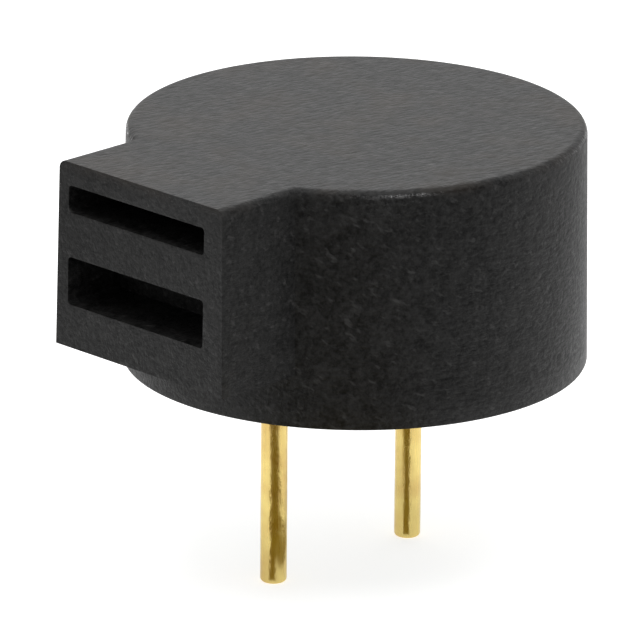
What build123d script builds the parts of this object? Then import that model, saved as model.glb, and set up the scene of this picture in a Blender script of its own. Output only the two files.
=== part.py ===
from build123d import *
import math
import os

# Magnetic buzzer: a round moulded housing with a sound outlet on one side and two solder pins.
# Millimetres, +Z up. The origin is on the body axis, in the plane of the housing's open rim.
# The outlet points to -Y and the pins go down.

# housing
BODY_TOP_R = 6.0
BODY_H = 6.36
DRAFT = 0.86                # degrees, wider towards the open rim
TOP_EDGE_R = 0.22
ROOF_T = 0.55
BORE_R = 5.25
SHOULDER_Z = 4.7            # the stack inside is clamped up against this step
CAVITY_R = 4.5

# outlet block
SNOUT_REACH = 7.79          # body axis to the front face, at the top
SNOUT_W = 5.96              # at the top
SNOUT_Z = 1.39              # underside
SLOT_SIDE_WALL = 0.5        # either side of the openings, were they central
SLOT_OFFSET_X = -0.145      # both openings sit a little to one side of the block
SLOT_CORNER_R = 0.1
SOUND_SLOT_Z = (5.03, 5.75)
POCKET_Z = (2.55, 3.83)
POCKET_DEPTH = 1.8

# closing board and what is soldered to it
BOARD_T = 0.6
BOARD_RECESS = 0.6          # rim to the board's underside
BORE_CLEARANCE = 0.05       # radial, between the bore and whatever is dropped in
LAND_T = 0.035
LAND_R = 1.0
LAND_TAB_W = 0.7
INK_T = 0.03
MARK_SIZE = 1.2
MARK_STROKE = 0.26
MARK_X = -2.0

# pins
PIN_R = 0.35
PIN_LENGTH = 5.6            # below the rim
PIN_TIP_R = 0.1
PIN_PITCH = 5.0
PIN_CENTRE_Y = -0.44        # the pair sits towards the outlet
PIN_HEAD_R = 0.6
PIN_HEAD_T = 0.25
PIN_NECK_W = 0.62           # pressed square where the board holds it, so that it can't turn
PIN_HOLE_CLEARANCE = 0.02
SOLDER_R = 0.85
SOLDER_H = 0.46

# magnet, plate, core and coil
PLATE_T = 0.5
PLATE_CLEARANCE = 0.1
PLATE_PIN_HOLE_R = 0.9
CORE_R = 1.2
CORE_SPIGOT_R = 0.8
AIR_GAP = 0.25
MAGNET_R = 4.4
MAGNET_BORE_R = 3.3
MAGNET_H = 2.4
BOBBIN_CLEARANCE = 0.02
BOBBIN_WALL = 0.2
BOBBIN_FLANGE_R = 3.2
BOBBIN_FLANGE_T = 0.2
BOBBIN_H = 2.2
WINDING_R = 3.0
WIRE_R = 0.05
WIRE_BEND_R = 0.15
WIRE_HOLE_R = 0.25
WIRE_TOP = 3.3
WIRE_ANGLE = 38.0           # between the pin line and each coil end, seen from above
WIRE_STOP = 0.5             # pin axis to the wire's end, in a groove of the solder
WIRE_GROOVE_GAP = 0.01

# diaphragm and its seat
SEAT_DROP = 0.4             # shoulder to the seat
SEAT_R = 4.5
RIM_T = 0.2
DIAPHRAGM_CLEARANCE = 0.05
DIAPHRAGM_T = 0.08
ARMATURE_R = 2.0
ARMATURE_T = 0.3

# sealing bead
BEAD_W = 0.5
BEAD_H = 0.45

# heights that follow from the sizes above
BOARD_Z = BOARD_RECESS
PLATE_Z = BOARD_Z + BOARD_T
FLOOR_Z = PLATE_Z + PLATE_T
SEAT_Z = SHOULDER_Z - SEAT_DROP
ROOF_Z = BODY_H - ROOF_T
SLOT_W = SNOUT_W - 2 * SLOT_SIDE_WALL
LAND_Z = BOARD_Z - LAND_T
PIN_NECK_CORNER_R = PIN_NECK_W / math.sqrt(2)
PIN_HOLE_R = PIN_NECK_CORNER_R + PIN_HOLE_CLEARANCE
DRAFT_TAN = math.tan(math.radians(DRAFT))
INSERT_R = BORE_R - BORE_CLEARANCE
BOBBIN_BORE_R = CORE_R + BOBBIN_CLEARANCE
BOBBIN_TUBE_R = BOBBIN_BORE_R + BOBBIN_WALL
RECESS_R = INSERT_R - RIM_T
PIN_Y = {
    "positive": PIN_CENTRE_Y - PIN_PITCH / 2,
    "negative": PIN_CENTRE_Y + PIN_PITCH / 2,
}
WIRE_AT_R = WINDING_R + WIRE_R
WIRE_XY = {
    "positive": (
        WIRE_AT_R * math.sin(math.radians(WIRE_ANGLE)),
        -WIRE_AT_R * math.cos(math.radians(WIRE_ANGLE)),
    ),
    "negative": (
        WIRE_AT_R * math.sin(math.radians(WIRE_ANGLE)),
        WIRE_AT_R * math.cos(math.radians(WIRE_ANGLE)),
    ),
}
POLES = ("positive", "negative")
UP = (Align.CENTER, Align.CENTER, Align.MIN)


def disc(radius, z0, z1, x=0.0, y=0.0):
    """A round piece or a round cut from z0 up to z1."""
    return Pos(x, y, z0) * Cylinder(radius, z1 - z0, align=UP)


def ring(outer, inner, z0, z1):
    return disc(outer, z0, z1) - disc(inner, z0, z1)


def slot_cut(z0, z1, y_back):
    """A rounded rectangular opening, cut from in front of the outlet's face back to y_back."""
    y_front = -SNOUT_REACH - 1.0
    opening = Plane.XZ.offset(-y_back) * Pos(SLOT_OFFSET_X, (z0 + z1) / 2) * RectangleRounded(
        SLOT_W, z1 - z0, SLOT_CORNER_R
    )
    return extrude(opening, amount=y_back - y_front)


def make_housing():
    body = Cone(BODY_TOP_R + BODY_H * DRAFT_TAN, BODY_TOP_R, BODY_H, align=UP)
    snout_h = BODY_H - SNOUT_Z
    flare = snout_h * DRAFT_TAN
    reach = SNOUT_REACH + flare
    base = Pos(0, -reach / 2, SNOUT_Z) * Rectangle(SNOUT_W + 2 * flare, reach)
    shell = body + extrude(base, amount=snout_h, taper=DRAFT)
    top_edges = [
        e
        for e in shell.edges()
        if abs(e.bounding_box().min.Z - BODY_H) < 1e-4 and e.center().Y > -SNOUT_REACH + 0.01
    ]
    shell = fillet(top_edges, TOP_EDGE_R)
    shell -= disc(CAVITY_R, SHOULDER_Z, ROOF_Z)
    shell -= disc(BORE_R, -1.0, SHOULDER_Z)
    shell -= slot_cut(*SOUND_SLOT_Z, -3.0)
    shell -= slot_cut(*POCKET_Z, -(SNOUT_REACH - POCKET_DEPTH))
    return shell


def make_support_ring():
    seat = disc(INSERT_R, FLOOR_Z, SHOULDER_Z) - disc(SEAT_R, FLOOR_Z, SHOULDER_Z)
    return seat - disc(RECESS_R, SEAT_Z, SHOULDER_Z)


def make_pole_plate():
    plate = disc(BORE_R - PLATE_CLEARANCE, PLATE_Z, FLOOR_Z)
    plate -= disc(CORE_SPIGOT_R, PLATE_Z, FLOOR_Z)
    for pole in POLES:
        plate -= disc(PLATE_PIN_HOLE_R, PLATE_Z, FLOOR_Z, 0, PIN_Y[pole])
        plate -= disc(WIRE_HOLE_R, PLATE_Z, FLOOR_Z, *WIRE_XY[pole])
    return plate


def make_pole_core():
    return disc(CORE_R, FLOOR_Z, SEAT_Z - AIR_GAP) + disc(CORE_SPIGOT_R, PLATE_Z, FLOOR_Z)


def make_bobbin():
    top = FLOOR_Z + BOBBIN_H
    spool = disc(BOBBIN_TUBE_R, FLOOR_Z, top)
    spool += disc(BOBBIN_FLANGE_R, FLOOR_Z, FLOOR_Z + BOBBIN_FLANGE_T)
    spool += disc(BOBBIN_FLANGE_R, top - BOBBIN_FLANGE_T, top)
    spool -= disc(BOBBIN_BORE_R, FLOOR_Z, top)
    for pole in POLES:
        spool -= disc(WIRE_HOLE_R, FLOOR_Z, FLOOR_Z + BOBBIN_FLANGE_T, *WIRE_XY[pole])
    return spool


def make_winding():
    z0 = FLOOR_Z + BOBBIN_FLANGE_T
    z1 = FLOOR_Z + BOBBIN_H - BOBBIN_FLANGE_T
    return ring(WINDING_R, BOBBIN_TUBE_R, z0, z1)


def make_lead(pole):
    """A coil end: down beside the winding, through the board, then along the land to its pin."""
    x, y = WIRE_XY[pole]
    z_low = LAND_Z - WIRE_R
    to_pin = Vector(-x, PIN_Y[pole] - y, 0)
    reach = to_pin.length - WIRE_STOP
    way = to_pin.normalized()
    top = Vector(x, y, WIRE_TOP)
    bend_in = Vector(x, y, z_low + WIRE_BEND_R)
    bend_out = Vector(x, y, z_low) + way * WIRE_BEND_R
    end = Vector(x, y, z_low) + way * reach
    path = Wire(
        [
            Edge.make_line(top, bend_in),
            Edge.make_tangent_arc(bend_in, Vector(0, 0, -1), bend_out),
            Edge.make_line(bend_out, end),
        ]
    )
    section = Plane(origin=top, z_dir=(0, 0, -1)) * Circle(WIRE_R)
    return sweep(section, path=path)


def make_board():
    board = disc(INSERT_R, BOARD_Z, PLATE_Z)
    for pole in POLES:
        board -= disc(PIN_HOLE_R, BOARD_Z, PLATE_Z, 0, PIN_Y[pole])
        board -= disc(WIRE_HOLE_R, BOARD_Z, PLATE_Z, *WIRE_XY[pole])
    return board


def make_land(pole):
    x, y = WIRE_XY[pole]
    dx, dy = -x, PIN_Y[pole] - y
    span = math.hypot(dx, dy)
    turn = math.degrees(math.atan2(dy, dx))
    tab = Pos(x + dx / 2, y + dy / 2) * Rot(0, 0, turn) * Rectangle(span, LAND_TAB_W)
    outline = Pos(0, PIN_Y[pole]) * Circle(LAND_R) + tab
    outline += Pos(x, y) * Circle(LAND_TAB_W / 2)
    outline -= Pos(0, PIN_Y[pole]) * Circle(PIN_HOLE_R)
    outline -= Pos(x, y) * Circle(WIRE_HOLE_R)
    return Pos(0, 0, LAND_Z) * extrude(outline, amount=LAND_T)


def make_pin(pole):
    shank = disc(PIN_R, -PIN_LENGTH, 0)
    tip = [e for e in shank.edges() if e.center().Z < -PIN_LENGTH + 0.01]
    shank = fillet(tip, PIN_TIP_R)
    neck = Box(PIN_NECK_W, PIN_NECK_W, PLATE_Z, align=UP)
    head = disc(PIN_HEAD_R, PLATE_Z, PLATE_Z + PIN_HEAD_T)
    return Pos(0, PIN_Y[pole], 0) * (shank + neck + head)


def make_solder(pole):
    z1 = LAND_Z
    z0 = z1 - SOLDER_H
    lip = PIN_NECK_CORNER_R + 0.05
    inner = Polyline((SOLDER_R, z1), (0, z1), (0, z0), (lip, z0))
    hollow = ThreePointArc((lip, z0), (lip + 0.1, z1 - 0.13), (SOLDER_R, z1))
    profile = Plane.XZ * make_face(inner + hollow)
    joint = revolve(profile, Axis.Z) - Box(PIN_NECK_W, PIN_NECK_W, PLATE_Z, align=UP)
    x, y = WIRE_XY[pole]
    turn = math.degrees(math.atan2(y - PIN_Y[pole], x))
    groove = Pos(WIRE_STOP - WIRE_GROOVE_GAP, 0, LAND_Z - 2 * WIRE_R - WIRE_GROOVE_GAP) * Box(
        SOLDER_R,
        2 * (WIRE_R + WIRE_GROOVE_GAP),
        1.0,
        align=(Align.MIN, Align.CENTER, Align.MIN),
    )
    return Pos(0, PIN_Y[pole], 0) * (joint - Rot(0, 0, turn) * groove)


def make_bead():
    z1 = BOARD_Z
    edge = Polyline((BORE_R - BEAD_W, z1), (BORE_R, z1), (BORE_R, z1 - BEAD_H))
    middle = (BORE_R - 0.35 * BEAD_W, z1 - 0.38 * BEAD_H)
    hollow = ThreePointArc((BORE_R, z1 - BEAD_H), middle, (BORE_R - BEAD_W, z1))
    return revolve(Plane.XZ * make_face(edge + hollow), Axis.Z)


def make_mark():
    cross = Rectangle(MARK_SIZE, MARK_STROKE) + Rectangle(MARK_STROKE, MARK_SIZE)
    return Pos(MARK_X, PIN_Y["positive"], BOARD_Z - INK_T) * extrude(cross, amount=INK_T)


pieces = {
    "housing": make_housing(),
    "support_ring": make_support_ring(),
    "diaphragm": disc(RECESS_R - DIAPHRAGM_CLEARANCE, SEAT_Z, SEAT_Z + DIAPHRAGM_T),
    "armature_disc": disc(ARMATURE_R, SEAT_Z + DIAPHRAGM_T, SEAT_Z + DIAPHRAGM_T + ARMATURE_T),
    "magnet_ring": ring(MAGNET_R, MAGNET_BORE_R, FLOOR_Z, FLOOR_Z + MAGNET_H),
    "pole_plate": make_pole_plate(),
    "pole_core": make_pole_core(),
    "coil_bobbin": make_bobbin(),
    "coil_winding": make_winding(),
    "coil_lead_start": make_lead("positive"),
    "coil_lead_finish": make_lead("negative"),
    "circuit_board": make_board(),
    "land_positive": make_land("positive"),
    "land_negative": make_land("negative"),
    "pin_positive": make_pin("positive"),
    "pin_negative": make_pin("negative"),
    "solder_joint_positive": make_solder("positive"),
    "solder_joint_negative": make_solder("negative"),
    "epoxy_seal": make_bead(),
    "polarity_mark": make_mark(),
}

os.makedirs("parts", exist_ok=True)
for name, shape in pieces.items():
    export_step(shape, f"parts/{name}.step")
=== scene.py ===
"""A small magnetic buzzer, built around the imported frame. Metres, +Z up, outlet towards -Y."""

import math

import bmesh
import bpy
from mathutils import Matrix, Vector


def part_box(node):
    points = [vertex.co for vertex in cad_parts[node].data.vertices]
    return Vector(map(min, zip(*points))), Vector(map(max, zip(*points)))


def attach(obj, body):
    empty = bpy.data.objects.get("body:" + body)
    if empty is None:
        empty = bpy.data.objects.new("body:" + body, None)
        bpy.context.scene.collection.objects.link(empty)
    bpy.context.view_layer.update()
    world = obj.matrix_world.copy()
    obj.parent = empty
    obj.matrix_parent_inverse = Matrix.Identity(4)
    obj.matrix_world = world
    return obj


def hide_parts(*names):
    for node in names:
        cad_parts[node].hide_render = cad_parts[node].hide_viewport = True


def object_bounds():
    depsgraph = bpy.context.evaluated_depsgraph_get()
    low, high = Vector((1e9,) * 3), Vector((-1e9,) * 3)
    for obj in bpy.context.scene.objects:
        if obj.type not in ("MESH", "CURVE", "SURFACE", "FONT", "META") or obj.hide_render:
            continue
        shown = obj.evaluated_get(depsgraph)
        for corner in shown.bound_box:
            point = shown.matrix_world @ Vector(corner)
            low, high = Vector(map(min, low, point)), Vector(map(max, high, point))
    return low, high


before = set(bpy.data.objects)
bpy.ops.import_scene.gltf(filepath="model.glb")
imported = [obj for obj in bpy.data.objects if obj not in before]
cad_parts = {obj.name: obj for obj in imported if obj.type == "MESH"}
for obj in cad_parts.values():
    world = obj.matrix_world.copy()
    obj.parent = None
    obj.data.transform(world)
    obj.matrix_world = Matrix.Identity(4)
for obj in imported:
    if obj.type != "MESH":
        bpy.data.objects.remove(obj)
CAD_LOW, CAD_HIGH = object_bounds()
MM = 0.001

# ---------------------------------------------------------------- sizes, in millimetres


def box_mm(node):
    low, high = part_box(node)
    return low / MM, high / MM


HOUSING_LOW, HOUSING_HIGH = box_mm("housing")
TOP_Z = HOUSING_HIGH.z
DRAFT = math.tan(math.radians(0.86))
TOP_R = HOUSING_HIGH.x - TOP_Z * DRAFT
EDGE_R = 0.22
EDGE_BREAK = 0.03  # the bevel on every other edge of the moulding
BORE_R = box_mm("epoxy_seal")[1].x
SHOULDER_Z = box_mm("support_ring")[1].z
CAVITY_R = 4.5
ROOF_T = 0.55
SNOUT_Z = 1.39  # underside of the outlet block
SNOUT_W = 5.96
SNOUT_REACH = -HOUSING_LOW.y - (TOP_Z - SNOUT_Z) * DRAFT
SLOT_W = 4.96
SLOT_X = -0.145
SLOT_CORNER_R = 0.1
SOUND_SLOT = (5.03, 5.75)
SOUND_SLOT_END_Y = -3.0  # inside the chamber
POCKET = (2.55, 3.83)
POCKET_DEPTH = 1.8

# ---------------------------------------------------------------- mesh helpers

SMOOTH_BELOW = math.radians(32)
BEVEL_ABOVE = math.radians(40)


def link_mesh(bm, name):
    mesh = bpy.data.meshes.new(name)
    bm.to_mesh(mesh)
    bm.free()
    obj = bpy.data.objects.new(name, mesh)
    bpy.context.scene.collection.objects.link(obj)
    return obj


def shade(mesh):
    """Smooth, but sharp where two faces meet at more than SMOOTH_BELOW."""
    mesh.shade_smooth()
    mesh.set_sharp_from_angle(angle=SMOOTH_BELOW)


def to_object(bm, name):
    """A closed piece, still in millimetres. finish_piece() takes it to metres."""
    bmesh.ops.recalc_face_normals(bm, faces=bm.faces)
    obj = link_mesh(bm, name)
    shade(obj.data)
    return obj


def join_loops(bm, low, high):
    """Quads between two loops of as many vertices."""
    for i in range(len(low)):
        j = (i + 1) % len(low)
        bm.faces.new((low[i], low[j], high[j], high[i]))


def add_rings(bm, rings, close_ends=True):
    """Quads between rings of points. Every ring has the same count and runs the same way."""
    loops = [[bm.verts.new(p) for p in ring] for ring in rings]
    for low, high in zip(loops, loops[1:]):
        join_loops(bm, low, high)
    if close_ends:
        bm.faces.new(loops[0])
        bm.faces.new(loops[-1])
    return loops


def circle(radius, z, count, x=0.0, y=0.0):
    step = 2 * math.pi / count
    return [
        (x + radius * math.cos(i * step), y + radius * math.sin(i * step), z)
        for i in range(count)
    ]


def arc(radius, z, start, sweep, steps):
    """Points about the Z axis from start through sweep, both ends included."""
    points = []
    for i in range(steps + 1):
        turn = start + sweep * i / steps
        points.append((radius * math.cos(turn), radius * math.sin(turn), z))
    return points


def lathe(name, profile, count, x=0.0, y=0.0, closed=False):
    """A turned piece. profile is (radius, z), and closed joins the last ring to the first."""
    bm = bmesh.new()
    rings = [circle(r, z, count, x, y) for r, z in profile]
    loops = add_rings(bm, rings, close_ends=not closed)
    if closed:
        join_loops(bm, loops[-1], loops[0])
    return to_object(bm, name)


def middle_xy(low, high):
    return (low.x + high.x) / 2, (low.y + high.y) / 2


def bake_modifiers(obj):
    graph = bpy.context.evaluated_depsgraph_get()
    graph.update()
    done = bpy.data.meshes.new_from_object(obj.evaluated_get(graph))
    obj.modifiers.clear()
    obj.data = done


def cut(obj, tool):
    step = obj.modifiers.new("cut", "BOOLEAN")
    step.operation = "DIFFERENCE"
    step.solver = "EXACT"
    step.object = tool
    bake_modifiers(obj)
    bpy.data.objects.remove(tool)


# ---------------------------------------------------------------- housing

BACK_STEPS = 220  # round the body's back
FRONT_STEPS = 64  # round the foot below the outlet block
SIDE_STEPS = 4
FACE_STEPS = 6
WALL_STEPS = 4
FILLET_STEPS = 8
CORNER_STEPS = 6
TOP_LIP = 0.03  # a last narrow ring that keeps the top's shading flat
RIM_BREAK = 0.02
RIM_BREAK_Z = 0.04
BORE_STEPS = 200
TOOL_CLEAR = 1.0  # how far a cutting tool stands out of the moulding
AXIS_R = 0.001


def arc_start(grow, inset):
    """The angle at which the round body meets the outlet block's side."""
    return -math.acos((SNOUT_W / 2 + grow - inset) / (TOP_R + grow - inset))


def outline(z, inset=0.0, lip=0.0):
    """Body and outlet block at one height, anticlockwise from the corner between them at +X."""
    grow = (TOP_Z - z) * DRAFT
    radius = TOP_R + grow - inset - lip
    half = SNOUT_W / 2 + grow - inset - lip
    reach = SNOUT_REACH + grow - lip
    start = arc_start(grow, inset + lip)
    points = arc(radius, z, start, math.pi - 2 * start, BACK_STEPS)
    joint_y = radius * math.sin(start)
    for i in range(1, SIDE_STEPS + 1):
        points.append((-half, joint_y + (-reach - joint_y) * i / SIDE_STEPS, z))
    for i in range(1, FACE_STEPS + 1):
        points.append((-half + 2 * half * i / FACE_STEPS, -reach, z))
    for i in range(1, SIDE_STEPS):
        points.append((half, -reach + (joint_y + reach) * i / SIDE_STEPS, z))
    return points


def make_shell():
    """The moulding without its bore and openings."""
    bm = bmesh.new()
    wall_h = TOP_Z - EDGE_R - SNOUT_Z
    rings = [outline(SNOUT_Z + wall_h * i / WALL_STEPS) for i in range(WALL_STEPS + 1)]
    for i in range(1, FILLET_STEPS + 1):
        turn = math.pi / 2 * i / FILLET_STEPS
        z = TOP_Z - EDGE_R * (1 - math.sin(turn))
        rings.append(outline(z, inset=EDGE_R * (1 - math.cos(turn))))
    rings.append(outline(TOP_Z, inset=EDGE_R, lip=TOP_LIP))
    loops = add_rings(bm, rings, close_ends=False)
    bm.faces.new(loops[-1])

    # the round foot below the outlet block shares the back of the first outline
    start = arc_start((TOP_Z - SNOUT_Z) * DRAFT, 0.0)
    back_sweep, front_sweep = math.pi - 2 * start, math.pi + 2 * start

    def foot_radius(z):
        return TOP_R + (TOP_Z - z) * DRAFT

    def front_arc(radius, z):
        return arc(radius, z, math.pi - start, front_sweep, FRONT_STEPS)[1:-1]

    back = loops[0][: BACK_STEPS + 1]
    block = loops[0][BACK_STEPS + 1 :]
    front = [bm.verts.new(p) for p in front_arc(foot_radius(SNOUT_Z), SNOUT_Z)]
    bm.faces.new([back[-1], *block, back[0], *reversed(front)])
    upper = [*back, *front]
    for z, inset in ((SNOUT_Z / 2, 0.0), (RIM_BREAK_Z, 0.0), (0.0, RIM_BREAK)):
        radius = foot_radius(z) - inset
        ring = [*arc(radius, z, start, back_sweep, BACK_STEPS), *front_arc(radius, z)]
        lower = [bm.verts.new(p) for p in ring]
        join_loops(bm, lower, upper)
        upper = lower
    bm.faces.new(upper)
    return to_object(bm, "moulded_housing")


def slot_tool(z0, z1, back_y):
    """A rounded rectangular bar, from in front of the outlet's face to back_y."""
    half_w = SLOT_W / 2 - SLOT_CORNER_R
    half_h = (z1 - z0) / 2 - SLOT_CORNER_R
    section = []
    for quarter, (sx, sz) in enumerate(((1, 1), (-1, 1), (-1, -1), (1, -1))):
        for i in range(CORNER_STEPS + 1):
            turn = math.pi / 2 * (quarter + i / CORNER_STEPS)
            x = SLOT_X + sx * half_w + SLOT_CORNER_R * math.cos(turn)
            z = (z0 + z1) / 2 + sz * half_h + SLOT_CORNER_R * math.sin(turn)
            section.append((x, z))
    front_y = -SNOUT_REACH - TOOL_CLEAR
    bm = bmesh.new()
    add_rings(bm, [[(x, y, z) for x, z in section] for y in (front_y, back_y)])
    return to_object(bm, "slot_tool")


def make_housing():
    shell = make_shell()
    bore = [
        (AXIS_R, -TOOL_CLEAR),
        (BORE_R, -TOOL_CLEAR),
        (BORE_R, SHOULDER_Z),
        (CAVITY_R, SHOULDER_Z),
        (CAVITY_R, TOP_Z - ROOF_T),
        (AXIS_R, TOP_Z - ROOF_T),
    ]
    cut(shell, lathe("bore_tool", bore, BORE_STEPS))
    cut(shell, slot_tool(*SOUND_SLOT, SOUND_SLOT_END_Y))
    cut(shell, slot_tool(*POCKET, -(SNOUT_REACH - POCKET_DEPTH)))
    soften = shell.modifiers.new("edge_break", "BEVEL")
    soften.width = EDGE_BREAK
    soften.segments = 2
    soften.limit_method = "ANGLE"
    soften.angle_limit = BEVEL_ABOVE
    soften.use_clamp_overlap = True
    bake_modifiers(shell)
    shade(shell.data)
    even = shell.modifiers.new("even_normals", "WEIGHTED_NORMAL")
    even.keep_sharp = True
    even.weight = 80
    return shell


# ---------------------------------------------------------------- pins and what is under the rim

PIN_R = 0.35
PIN_TIP_R = 0.1
PIN_TIP_FLAT_R = 0.12
PIN_NECK_W = 0.62
PIN_STEPS = 96
PIN_LEVELS = (0.25, 0.5, 0.75)  # extra rings down the straight length
PIN_TOP_BREAK = 0.01
TIP_STEPS = 6
HEAD_BREAK = 0.03


def square_ring(width, z, x, y):
    """A square with the same number of points as a pin's round rings."""
    ring = []
    for i in range(PIN_STEPS):
        turn = 2 * math.pi * i / PIN_STEPS
        c, s = math.cos(turn), math.sin(turn)
        reach = width / 2 / max(abs(c), abs(s))
        ring.append((x + reach * c, y + reach * s, z))
    return ring


def make_pin(pole):
    """Rounded tip, round shank, square neck in the board, flat head above it."""
    low, high = box_mm(f"pin_{pole}")
    x, y = middle_xy(low, high)
    head_r = (high.x - low.x) / 2
    head_z = box_mm("circuit_board")[1].z
    shank = [(PIN_TIP_FLAT_R, low.z)]
    for i in range(TIP_STEPS + 1):
        turn = math.pi / 2 * i / TIP_STEPS
        radius = PIN_R - PIN_TIP_R * (1 - math.sin(turn))
        shank.append((radius, low.z + PIN_TIP_R * (1 - math.cos(turn))))
    shank += [(PIN_R, low.z * (1 - share)) for share in PIN_LEVELS]
    shank += [(PIN_R, -PIN_TOP_BREAK), (PIN_R - PIN_TOP_BREAK, 0.0)]
    head = [(head_r, head_z), (head_r, high.z - HEAD_BREAK), (head_r - HEAD_BREAK, high.z)]
    rings = [circle(r, z, PIN_STEPS, x, y) for r, z in shank]
    rings += [square_ring(PIN_NECK_W, z, x, y) for z in (0.0, head_z)]
    rings += [circle(r, z, PIN_STEPS, x, y) for r, z in head]
    bm = bmesh.new()
    add_rings(bm, rings)
    return to_object(bm, f"terminal_{pole}")


def arc_between(start, end, sag, steps):
    """Points of a shallow curve from start to end in (radius, z), bowed by sag at the middle."""
    (r0, z0), (r1, z1) = start, end
    length = math.hypot(r1 - r0, z1 - z0)
    nr, nz = (z1 - z0) / length, -(r1 - r0) / length
    points = []
    for i in range(steps + 1):
        t = i / steps
        bow = sag * 4 * t * (1 - t)
        points.append((r0 + (r1 - r0) * t + nr * bow, z0 + (z1 - z0) * t + nz * bow))
    return points


SOLDER_HOLE_R = 0.30
SOLDER_COLLAR = 0.06  # solder left round the pin at the fillet's top
SOLDER_SAG = -0.12
SOLDER_TILT = 0.015


def make_solder(pole):
    """A concave cone of solder from the pin to the land, a little higher on one side."""
    low, high = box_mm(f"solder_joint_{pole}")
    x, y = middle_xy(low, high)
    outer = (high.x - low.x) / 2
    fillet = arc_between((PIN_R + SOLDER_COLLAR, low.z), (outer, high.z), SOLDER_SAG, steps=12)
    profile = [(SOLDER_HOLE_R, high.z), (SOLDER_HOLE_R, low.z + 0.02), *fillet]
    joint = lathe(f"solder_fillet_{pole}", profile, count=72, x=x, y=y, closed=True)
    for vert in joint.data.vertices:
        turn = math.atan2(vert.co.y - y, vert.co.x - x)
        share = min(1.0, (high.z - vert.co.z) / (high.z - low.z))
        vert.co.z += SOLDER_TILT * share * math.sin(turn + 0.7)
    return joint


BEAD_W = 0.5
BEAD_SAG = -0.09
BEAD_WAVES = ((0.035, 3, 0.4), (0.02, 7, 1.9))  # share of the width, waves round, phase


def make_bead():
    """The resin in the corner between board and bore, with an uneven inner edge."""
    low, high = box_mm("epoxy_seal")
    fillet = arc_between((high.x - BEAD_W, high.z), (high.x, low.z), BEAD_SAG, steps=14)
    bead = lathe("sealing_bead", [(high.x, high.z), *fillet], count=256, closed=True)
    for vert in bead.data.vertices:
        radius = math.hypot(vert.co.x, vert.co.y)
        if radius < high.x - 0.01:
            turn = math.atan2(vert.co.y, vert.co.x)
            wave = sum(part * math.sin(count * turn + phase) for part, count, phase in BEAD_WAVES)
            scale = 1 + wave * (high.x - radius) / radius
            vert.co.x *= scale
            vert.co.y *= scale
    return bead


WINDING_TURNS = 26
TURN_STEPS = 6
BOBBIN_T = 0.22


def make_winding():
    """The wound copper, with its outer turns standing proud of each other."""
    low, high = box_mm("coil_winding")
    inner = box_mm("pole_core")[1].x + BOBBIN_T
    pitch = (high.z - low.z) / WINDING_TURNS
    profile = [(inner, high.z), (inner, low.z)]
    for i in range(WINDING_TURNS):
        middle = low.z + (i + 0.5) * pitch
        for k in range(TURN_STEPS):
            turn = -math.pi / 2 + math.pi * (k + 0.5) / TURN_STEPS
            bulge = 0.5 * pitch * (math.cos(turn) - 1)
            profile.append((high.x + bulge, middle + 0.5 * pitch * math.sin(turn)))
    return lathe("copper_winding", profile, count=96, closed=True)


WIRE_R = 0.05
WIRE_SIDES = 20
WIRE_BEND_R = 0.15
BEND_STEPS = 8


def make_lead(end, pole):
    """One fine coil end, from the winding down through the board and along to its pin."""
    low, high = box_mm(f"coil_lead_{end}")
    near_pin_y, away_y, inward = (low.y, high.y, 1) if pole == "positive" else (high.y, low.y, -1)
    x, y = high.x - WIRE_R, away_y - inward * WIRE_R
    end_x, end_y = low.x + WIRE_R * 0.25, near_pin_y + inward * WIRE_R
    z_low = low.z + WIRE_R
    length = math.hypot(end_x - x, end_y - y)
    ux, uy = (end_x - x) / length, (end_y - y) / length
    path = [Vector((x, y, high.z)), Vector((x, y, z_low + WIRE_BEND_R))]
    for i in range(1, BEND_STEPS + 1):
        turn = math.pi / 2 * i / BEND_STEPS
        out = WIRE_BEND_R * (1 - math.cos(turn))
        z = z_low + WIRE_BEND_R * (1 - math.sin(turn))
        path.append(Vector((x + ux * out, y + uy * out, z)))
    path.append(Vector((end_x, end_y, z_low)))
    side = Vector((-uy, ux, 0))
    rings = []
    for i, point in enumerate(path):
        before = path[max(i - 1, 0)]
        after = path[min(i + 1, len(path) - 1)]
        up = (after - before).normalized().cross(side)
        ring = []
        for k in range(WIRE_SIDES):
            turn = 2 * math.pi * k / WIRE_SIDES
            ring.append(point + (side * math.cos(turn) + up * math.sin(turn)) * WIRE_R)
        rings.append(ring)
    bm = bmesh.new()
    add_rings(bm, rings)
    return to_object(bm, f"coil_end_{pole}")


# ---------------------------------------------------------------- materials


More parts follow.
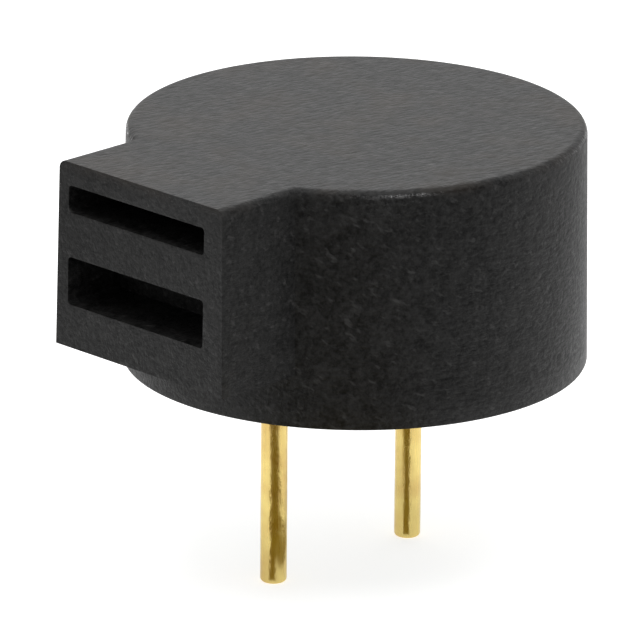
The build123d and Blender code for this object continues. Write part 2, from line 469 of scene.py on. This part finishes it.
class Nodes:
    """A short way to write one material's nodes."""

    def __init__(self, name):
        self.material = bpy.data.materials.new(name)
        self.material.use_nodes = True
        self.tree = self.material.node_tree
        self.shader = self.tree.nodes["Principled BSDF"]
        self.place = self.add("ShaderNodeTexCoord").outputs["Object"]

    def add(self, kind, **settings):
        node = self.tree.nodes.new(kind)
        for key, value in settings.items():
            setattr(node, key, value)
        return node

    def link(self, source, target):
        self.tree.links.new(source, target)

    def stretched(self, scale, turn=(0.0, 0.0, 0.0)):
        """Object coordinates in which a pattern is drawn out by scale along each turned axis."""
        mapping = self.add("ShaderNodeMapping", vector_type="TEXTURE")
        mapping.inputs["Scale"].default_value = scale
        mapping.inputs["Rotation"].default_value = turn
        self.link(self.place, mapping.inputs["Vector"])
        return mapping.outputs["Vector"]

    def noise(self, size_mm, detail=3.0, roughness=0.55, vector=None):
        """Noise with features about size_mm across."""
        node = self.add("ShaderNodeTexNoise")
        node.inputs["Scale"].default_value = 1.0 / (size_mm * MM)
        node.inputs["Detail"].default_value = detail
        node.inputs["Roughness"].default_value = roughness
        self.link(vector or self.place, node.inputs["Vector"])
        return node.outputs["Fac"]

    def ramp(self, factor, stops):
        node = self.add("ShaderNodeValToRGB")
        element = node.color_ramp.elements
        while len(element) < len(stops):
            element.new(0.5)
        for slot, (position, color) in zip(element, stops):
            slot.position = position
            slot.color = (*color, 1.0)
        self.link(factor, node.inputs["Fac"])
        return node.outputs["Color"]

    def grey_ramp(self, factor, stops):
        return self.ramp(factor, [(p, (v, v, v)) for p, v in stops])

    def maths(self, operation, *values):
        node = self.add("ShaderNodeMath", operation=operation)
        for socket, value in zip(node.inputs, values):
            if isinstance(value, (int, float)):
                socket.default_value = value
            else:
                self.link(value, socket)
        return node.outputs["Value"]

    def clamp(self, value, low=0.0, high=1.0):
        return self.maths("MINIMUM", self.maths("MAXIMUM", value, low), high)

    def slope(self, place, start_mm, per_mm):
        """0 where place is at start_mm, growing by per_mm for each millimetre past it."""
        return self.maths("MULTIPLY", self.maths("SUBTRACT", place, start_mm * MM), per_mm / MM)

    def weighted(self, *parts):
        """The sum of fields, each times its weight."""
        total = None
        for field, weight in parts:
            share = self.maths("MULTIPLY", field, weight)
            total = share if total is None else self.maths("ADD", total, share)
        return total

    def mix(self, factor, a, b):
        node = self.add("ShaderNodeMix", data_type="RGBA")
        self.link(factor, node.inputs["Factor"])
        for key, value in (("A", a), ("B", b)):
            sockets = [s for s in node.inputs if s.name == key and s.type == "RGBA"]
            if isinstance(value, tuple):
                sockets[0].default_value = (*value, 1.0)
            else:
                self.link(value, sockets[0])
        return [s for s in node.outputs if s.type == "RGBA"][0]

    def bump(self, height, distance_mm, strength):
        node = self.add("ShaderNodeBump")
        node.inputs["Distance"].default_value = distance_mm * MM
        node.inputs["Strength"].default_value = strength
        self.link(height, node.inputs["Height"])
        self.link(node.outputs["Normal"], self.shader.inputs["Normal"])

    def surface(self, color, rough, metal=0.0, sheen=0.5):
        """Colour and roughness fields go to the shader, with one level of metal and of sheen."""
        self.link(color, self.shader.inputs["Base Color"])
        self.link(rough, self.shader.inputs["Roughness"])
        self.shader.inputs["Metallic"].default_value = metal
        self.shader.inputs["Specular IOR Level"].default_value = sheen


# tints of the housing's black, as multiples of its level
SPECKLE_DARK, SPECKLE_PALE = (0.35, 0.35, 0.35), (3.2, 3.17, 3.12)
# the last of these tints is a painted highlight, not a colour the plastic has
FILM, DUST, EDGE_HIGHLIGHT = (3.0, 2.5, 2.05), (6.0, 5.9, 5.8), (9.0, 8.8, 8.5)

# where the housing is marked or carries its painted edge highlight, in millimetres, and how fast a
# mark or the highlight comes in for each of them
FILM_Z, FILM_FADE, FILM_LEAST = TOP_Z - 0.3, 4.0, 0.04
# painted highlight: where the pale line along the outlet block's lower edge lies, and how fast it
# fades
EDGE_HIGHLIGHT_Z, EDGE_HIGHLIGHT_Z_FADE = SNOUT_Z + 0.03, 11.0
EDGE_HIGHLIGHT_Y, EDGE_HIGHLIGHT_Y_FADE = -4.6, -3.0
EDGE_HIGHLIGHT_HALF_W = SNOUT_W / 2 + 0.07
WORN_FROM_Z, WORN_TO_Z, WORN_FADE = TOP_Z - 0.19, TOP_Z - 0.05, 12.0
MATT = 0.20


def plastic_color(n, level, axes, grain, patch):
    """Speckled black with pale flecks, a brown film that settles on top, and a painted highlight
    along one edge.
    """

    def tint(parts):
        return tuple(level * part for part in parts)

    cloud = n.noise(1.8, detail=4)
    mottle = n.weighted((grain, 0.7), (patch, 0.3))
    speckle = n.ramp(mottle, [(0.38, tint(SPECKLE_DARK)), (0.64, tint(SPECKLE_PALE))])
    flecks = n.noise(0.16, detail=2, vector=n.stretched((2.4, 1.0, 1.0), (0.0, 0.5, 0.9)))
    flecked = n.mix(n.grey_ramp(flecks, [(0.60, 0.0), (0.74, 0.8)]), speckle, tint(DUST))
    upper = n.clamp(n.slope(axes["Z"], FILM_Z, FILM_FADE), low=FILM_LEAST)
    settled = n.maths("MULTIPLY", n.grey_ramp(cloud, [(0.48, 0.0), (0.66, 0.85)]), upper)
    filmed = n.mix(settled, flecked, tint(FILM))

    # painted highlight: the block's lower edge is painted pale where it meets the round body
    off_edge = n.maths("ABSOLUTE", n.maths("SUBTRACT", axes["Z"], EDGE_HIGHLIGHT_Z * MM))
    edge = n.maths("SUBTRACT", 1.0, n.maths("MULTIPLY", off_edge, EDGE_HIGHLIGHT_Z_FADE / MM))
    front = n.slope(axes["Y"], EDGE_HIGHLIGHT_Y, EDGE_HIGHLIGHT_Y_FADE)
    on_edge = n.clamp(n.maths("MINIMUM", edge, front))
    on_block = n.maths("LESS_THAN", n.maths("ABSOLUTE", axes["X"]), EDGE_HIGHLIGHT_HALF_W * MM)
    broken = n.grey_ramp(n.noise(0.6), [(0.50, 0.0), (0.66, 0.6)])
    painted_highlight = n.maths("MULTIPLY", n.maths("MULTIPLY", on_edge, on_block), broken)
    return n.mix(painted_highlight, filmed, tint(EDGE_HIGHLIGHT))


def plastic_roughness(n, axes, patch, rubs):
    """Matt and uneven, but worn smoother in places along the rounded top edge."""
    above = n.slope(axes["Z"], WORN_FROM_Z, WORN_FADE)
    below = n.slope(axes["Z"], WORN_TO_Z, -WORN_FADE)
    band = n.clamp(n.maths("MINIMUM", above, below))
    worn = n.maths("MULTIPLY", band, n.grey_ramp(n.noise(0.30), [(0.36, 0.0), (0.50, 0.35)]))
    matt = n.maths("ADD", n.weighted((rubs, 0.35), (patch, 0.15)), MATT)
    return n.maths("SUBTRACT", matt, worn)


def housing_plastic(name, level, sheen):
    """Black moulded plastic: fine matt grain, short rub marks, a dusty film, a worn top edge, and
    a painted highlight on the outlet block's lower edge.
    """
    n = Nodes(name)
    axes = n.add("ShaderNodeSeparateXYZ")
    n.link(n.place, axes.inputs["Vector"])
    patch = n.noise(0.45)
    grain = n.noise(0.13, roughness=0.75)
    rubs = n.noise(0.11, vector=n.stretched((3.0, 1.0, 1.0), (0.0, 0.0, 1.35)))
    color = plastic_color(n, level, axes.outputs, grain, patch)
    rough = plastic_roughness(n, axes.outputs, patch, rubs)
    n.surface(color, rough, sheen=sheen)
    n.bump(n.weighted((grain, 1.0), (rubs, 1.6), (patch, 1.5)), 0.02, 0.9)
    return n.material


def gold_plate():
    """Gold over drawn wire: long fine draw lines, shallow dents and a drift in colour."""
    n = Nodes("gold_plate")
    draw = n.noise(0.12, vector=n.stretched((1.0, 1.0, 14.0)))
    cloud = n.noise(0.8, detail=2)
    color = n.ramp(cloud, [(0.35, (0.60, 0.43, 0.15)), (0.65, (0.71, 0.56, 0.20))])
    n.surface(color, n.maths("MULTIPLY_ADD", draw, 0.16, 0.20), metal=1.0)
    dents = n.noise(0.28, vector=n.stretched((1.0, 1.0, 2.0)))
    n.bump(n.weighted((dents, 1.0), (draw, 0.10)), 0.035, 0.8)
    return n.material


def two_tone(name, dark, light, size_mm, rough, spread, bump_mm, metal=0.0, stretch=None):
    """A surface whose colour, roughness and relief drift between two tones at one scale."""
    n = Nodes(name)
    vector = n.stretched(stretch) if stretch else None
    tone = n.noise(size_mm, detail=4, vector=vector)
    color = n.ramp(tone, [(0.3, dark), (0.7, light)])
    n.surface(color, n.maths("MULTIPLY_ADD", tone, spread, rough), metal=metal)
    n.bump(tone, bump_mm, 0.5)
    return n.material


WEAVE_SCALE = 1400


def laminate():
    """Glass-epoxy board: a green mask over a fine woven ground."""
    n = Nodes("board_laminate")
    weave = []
    for axis in ("X", "Y"):
        wave = n.add("ShaderNodeTexWave", bands_direction=axis)
        wave.inputs["Scale"].default_value = WEAVE_SCALE
        wave.inputs["Distortion"].default_value = 0.6
        n.link(n.place, wave.inputs["Vector"])
        weave.append(wave.outputs["Fac"])
    cloth = n.maths("MULTIPLY", *weave)
    color = n.ramp(cloth, [(0.1, (0.035, 0.075, 0.030)), (0.9, (0.060, 0.110, 0.040))])
    n.surface(color, n.maths("MULTIPLY_ADD", n.noise(0.4), 0.15, 0.28))
    n.bump(cloth, 0.004, 0.4)
    return n.material


PLASTIC = housing_plastic("black_moulded_plastic", level=0.0082, sheen=0.18)
# painted shade: a darker, less glossy copy of the housing's plastic for the walls inside the
# openings and the bore
PLASTIC_PAINTED_SHADE = housing_plastic("plastic_with_painted_shade_inside", level=0.008, sheen=0.10)
GOLD = gold_plate()
SOLDER = two_tone(
    "solder", (0.55, 0.55, 0.56), (0.74, 0.74, 0.74),
    size_mm=0.25, rough=0.16, spread=0.18, bump_mm=0.01, metal=1.0,
)
EPOXY = two_tone(
    "sealing_resin", (0.012, 0.011, 0.010), (0.03, 0.026, 0.02),
    size_mm=0.8, rough=0.10, spread=0.12, bump_mm=0.01,
)
COPPER = two_tone(
    "enamelled_copper", (0.50, 0.16, 0.05), (0.68, 0.27, 0.09),
    size_mm=0.12, rough=0.22, spread=0.1, bump_mm=0.003, metal=1.0, stretch=(1, 1, 3),
)
FOIL = two_tone(
    "copper_land", (0.62, 0.33, 0.18), (0.76, 0.44, 0.26),
    size_mm=0.3, rough=0.28, spread=0.15, bump_mm=0.004, metal=1.0,
)
STEEL = two_tone(
    "rolled_steel", (0.48, 0.48, 0.47), (0.62, 0.62, 0.61),
    size_mm=0.2, rough=0.26, spread=0.16, bump_mm=0.004, metal=1.0, stretch=(1, 12, 1),
)
ZINC = two_tone(
    "zinc_plate", (0.50, 0.51, 0.52), (0.66, 0.67, 0.68),
    size_mm=0.35, rough=0.24, spread=0.2, bump_mm=0.005, metal=1.0,
)
FERRITE = two_tone(
    "sintered_ferrite", (0.030, 0.030, 0.033), (0.065, 0.064, 0.066),
    size_mm=0.12, rough=0.45, spread=0.25, bump_mm=0.012,
)
NATURAL = two_tone(
    "natural_plastic", (0.50, 0.46, 0.37), (0.62, 0.58, 0.48),
    size_mm=0.5, rough=0.35, spread=0.15, bump_mm=0.006,
)
GREY = two_tone(
    "grey_plastic", (0.055, 0.055, 0.056), (0.085, 0.085, 0.085),
    size_mm=0.4, rough=0.42, spread=0.15, bump_mm=0.008,
)
INK = two_tone(
    "printed_ink", (0.72, 0.72, 0.69), (0.84, 0.84, 0.81),
    size_mm=0.15, rough=0.5, spread=0.2, bump_mm=0.004,
)
BOARD_SKIN = laminate()


def finish_piece(obj, material, node):
    """Takes a piece from millimetres to metres and puts it in the place of a CAD node."""
    obj.data.transform(Matrix.Scale(MM, 4))
    obj.data.update()
    obj.data.materials.clear()
    obj.data.materials.append(material)
    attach(obj, "root")
    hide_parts(node)
    return obj


def paint_shade_in_openings(housing):
    """Painted shade: the walls inside the two openings and the bore get a darker, less glossy copy
    of the plastic.
    """
    housing.data.materials.append(PLASTIC_PAINTED_SHADE)
    near = 0.01
    unshaded_margin = 0.05  # faces this close to the outlet's face or the rim keep the plain plastic, without painted shade
    half = SLOT_W / 2 + near
    for face in housing.data.polygons:
        x, y, z = face.center / MM
        front_y = -(SNOUT_REACH + (TOP_Z - z) * DRAFT)
        behind_face = front_y + unshaded_margin < y < SOUND_SLOT_END_Y
        in_slot = any(z0 - near < z < z1 + near for z0, z1 in (SOUND_SLOT, POCKET))
        in_bore = math.hypot(x, y) < BORE_R + near and unshaded_margin < z < TOP_Z - ROOF_T + near
        if in_bore or (in_slot and behind_face and abs(x - SLOT_X) < half):
            face.material_index = 1


housing = finish_piece(make_housing(), PLASTIC, "housing")
paint_shade_in_openings(housing)
for pole, end in (("positive", "start"), ("negative", "finish")):
    finish_piece(make_pin(pole), GOLD, f"pin_{pole}")
    finish_piece(make_solder(pole), SOLDER, f"solder_joint_{pole}")
    finish_piece(make_lead(end, pole), COPPER, f"coil_lead_{end}")
finish_piece(make_bead(), EPOXY, "epoxy_seal")
finish_piece(make_winding(), COPPER, "coil_winding")

CAD_SKINS = {
    "support_ring": GREY,
    "diaphragm": STEEL,
    "armature_disc": STEEL,
    "magnet_ring": FERRITE,
    "pole_plate": ZINC,
    "pole_core": ZINC,
    "coil_bobbin": NATURAL,
    "circuit_board": BOARD_SKIN,
    "land_positive": FOIL,
    "land_negative": FOIL,
    "polarity_mark": INK,
}
for node, material in CAD_SKINS.items():
    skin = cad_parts[node].data.materials
    skin.clear()
    skin.append(material)

# ---------------------------------------------------------------- floor, light and camera

WHITE = (1.0, 1.0, 1.0, 1.0)
FLOOR_Z = CAD_LOW.z
FLOOR_HALF = 0.6
TARGET = Vector((0, 0, 3.0 * MM))
AZIMUTH, ELEVATION, ROLL = math.radians(44.88), math.radians(18.76), math.radians(0.475)
DISTANCE = 220 * MM
LENS = 474.0
FRAME_SHIFT_MM = (-0.927, -1.975)


def away_from_target(azimuth, elevation):
    """Unit vector from the target towards a camera or lamp. Azimuth 0 is -Y."""
    level = math.cos(elevation)
    return Vector((math.sin(azimuth) * level, -math.cos(azimuth) * level, math.sin(elevation)))


def seen_directly(nodes, link):
    """1 for a camera, glossy or transmission ray, else 0."""
    path = nodes.new("ShaderNodeLightPath")
    most = path.outputs["Is Camera Ray"]
    for ray in ("Is Glossy Ray", "Is Transmission Ray"):
        larger = nodes.new("ShaderNodeMath")
        larger.operation = "MAXIMUM"
        link(most, larger.inputs[0])
        link(path.outputs[ray], larger.inputs[1])
        most = larger.outputs[0]
    return most


def floor_skin(grey, seen):
    """A pale surface that the camera, gloss and glass see brighter than it is lit, by seen."""
    skin = bpy.data.materials.new("pale_floor")
    skin.use_nodes = True
    nodes, link = skin.node_tree.nodes, skin.node_tree.links.new
    nodes.clear()
    out = nodes.new("ShaderNodeOutputMaterial")
    diffuse = nodes.new("ShaderNodeBsdfDiffuse")
    diffuse.inputs["Color"].default_value = (grey, grey, grey, 1)
    glow = nodes.new("ShaderNodeEmission")
    glow.inputs["Color"].default_value = WHITE
    glow.inputs["Strength"].default_value = seen
    both = nodes.new("ShaderNodeAddShader")
    blend = nodes.new("ShaderNodeMixShader")
    link(diffuse.outputs[0], both.inputs[0])
    link(glow.outputs[0], both.inputs[1])
    link(seen_directly(nodes, link), blend.inputs[0])
    link(diffuse.outputs[0], blend.inputs[1])
    link(both.outputs[0], blend.inputs[2])
    link(blend.outputs[0], out.inputs["Surface"])
    return skin


def make_floor():
    bm = bmesh.new()
    bmesh.ops.create_grid(bm, x_segments=1, y_segments=1, size=FLOOR_HALF)
    floor = link_mesh(bm, "floor")
    floor.location.z = FLOOR_Z
    floor.data.materials.append(floor_skin(grey=0.80, seen=0.72))


def add_area(name, azimuth, elevation, distance, size, power):
    """A lamp facing the target. Azimuth in degrees from the camera's own, towards +X."""
    back = away_from_target(AZIMUTH + math.radians(azimuth), math.radians(elevation))
    data = bpy.data.lights.new(name, "AREA")
    data.shape = "RECTANGLE"
    data.size, data.size_y = size
    data.energy = power
    lamp = bpy.data.objects.new(name, data)
    lamp.location = TARGET + back * distance
    lamp.rotation_mode = "QUATERNION"
    lamp.rotation_quaternion = back.to_track_quat("Z", "Y")
    bpy.context.scene.collection.objects.link(lamp)
    return lamp


def make_lamps():
    add_area("overhead", 10, 76, distance=0.25, size=(0.20, 0.20), power=0.36)
    add_area("top_back", 180, 40, distance=0.25, size=(0.30, 0.22), power=0.14)
    # small and near: it only draws the bright line along the rounded top edge
    glint = add_area("edge_glint", 20, 30, distance=0.023, size=(0.002, 0.002), power=0.0015)
    glint.visible_camera = False
    glint.visible_diffuse = False


def make_world(fill, seen):
    """A world that lights at the level fill and is seen by the camera, gloss and glass at seen."""
    world = bpy.data.worlds.new("studio")
    world.use_nodes = True
    nodes, link = world.node_tree.nodes, world.node_tree.links.new
    nodes.clear()
    out = nodes.new("ShaderNodeOutputWorld")
    blend = nodes.new("ShaderNodeMixShader")
    link(seen_directly(nodes, link), blend.inputs[0])
    for slot, strength in ((1, fill), (2, seen)):
        background = nodes.new("ShaderNodeBackground")
        background.inputs["Color"].default_value = WHITE
        background.inputs["Strength"].default_value = strength
        link(background.outputs[0], blend.inputs[slot])
    link(blend.outputs[0], out.inputs["Surface"])
    bpy.context.scene.world = world


def make_camera():
    back = away_from_target(AZIMUTH, ELEVATION)
    turn = (-back).to_track_quat("-Z", "Y").to_matrix() @ Matrix.Rotation(ROLL, 3, "Z")
    data = bpy.data.cameras.new("camera")
    data.lens = LENS
    data.sensor_width = 36.0
    data.clip_start, data.clip_end = 0.01, 10.0
    camera = bpy.data.objects.new("camera", data)
    offset = turn @ Vector((FRAME_SHIFT_MM[0] * MM, FRAME_SHIFT_MM[1] * MM, 0))
    camera.matrix_world = Matrix.Translation(TARGET + back * DISTANCE + offset) @ turn.to_4x4()
    bpy.context.scene.collection.objects.link(camera)
    bpy.context.scene.camera = camera


def card(name, rows, color):
    """A card of one even colour, seen only in reflections. rows are lines of points, joined up."""
    bm = bmesh.new()
    strips = [[bm.verts.new(p) for p in row] for row in rows]
    for low, high in zip(strips, strips[1:]):
        for i in range(len(low) - 1):
            bm.faces.new((low[i], low[i + 1], high[i + 1], high[i]))
    flag = link_mesh(bm, name)
    skin = bpy.data.materials.new(name)
    skin.use_nodes = True
    nodes = skin.node_tree.nodes
    nodes.clear()
    glow = nodes.new("ShaderNodeEmission")
    glow.inputs["Color"].default_value = (*color, 1)
    out = nodes.new("ShaderNodeOutputMaterial")
    skin.node_tree.links.new(glow.outputs[0], out.inputs["Surface"])
    flag.data.materials.append(skin)
    flag.visible_camera = False
    flag.visible_diffuse = False
    flag.visible_shadow = False
    flag.visible_transmission = False


FAN_STEPS = 16


def fan(x, y, z, radius, first_deg, last_deg):
    """Points of an arc about (x, y), its angles measured from the camera's azimuth."""
    points = []
    for i in range(FAN_STEPS + 1):
        a = AZIMUTH + math.radians(first_deg + (last_deg - first_deg) * i / FAN_STEPS)
        points.append((x + radius * math.sin(a), y - radius * math.cos(a), z))
    return points


FLAG_R = 24 * MM
FLAG_TOP_Z = 70 * MM
FLAG_BOTTOM_Z = FLOOR_Z + 0.05 * MM
FLAG_WALLS = {"front": (-30, 62, 0.14), "left": (-125, -72, 0.60), "right": (62, 150, 0.92)}
PIN_FLAG_RADII = (0.5 * MM, 20 * MM)
PIN_FLAG_COLOR = (0.26, 0.19, 0.03)


def make_flags():
    """Grey walls around the housing, and a dark gold fan on the floor in front of each pin."""
    for side, (first, last, grey) in FLAG_WALLS.items():
        wall = [fan(0, 0, z, FLAG_R, first, last) for z in (FLAG_BOTTOM_Z, FLAG_TOP_Z)]
        card(f"flag_{side}", wall, (grey, grey, grey))
    for pole in ("positive", "negative"):
        x, y = middle_xy(*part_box(f"pin_{pole}"))
        floor_fan = [fan(x, y, FLAG_BOTTOM_Z, radius, -30, 14) for radius in PIN_FLAG_RADII]
        card(f"flag_{pole}", floor_fan, PIN_FLAG_COLOR)


make_floor()
make_flags()
make_world(fill=0.40, seen=1.0)
make_lamps()
make_camera()

bpy.context.scene.view_settings.view_transform = "Standard"
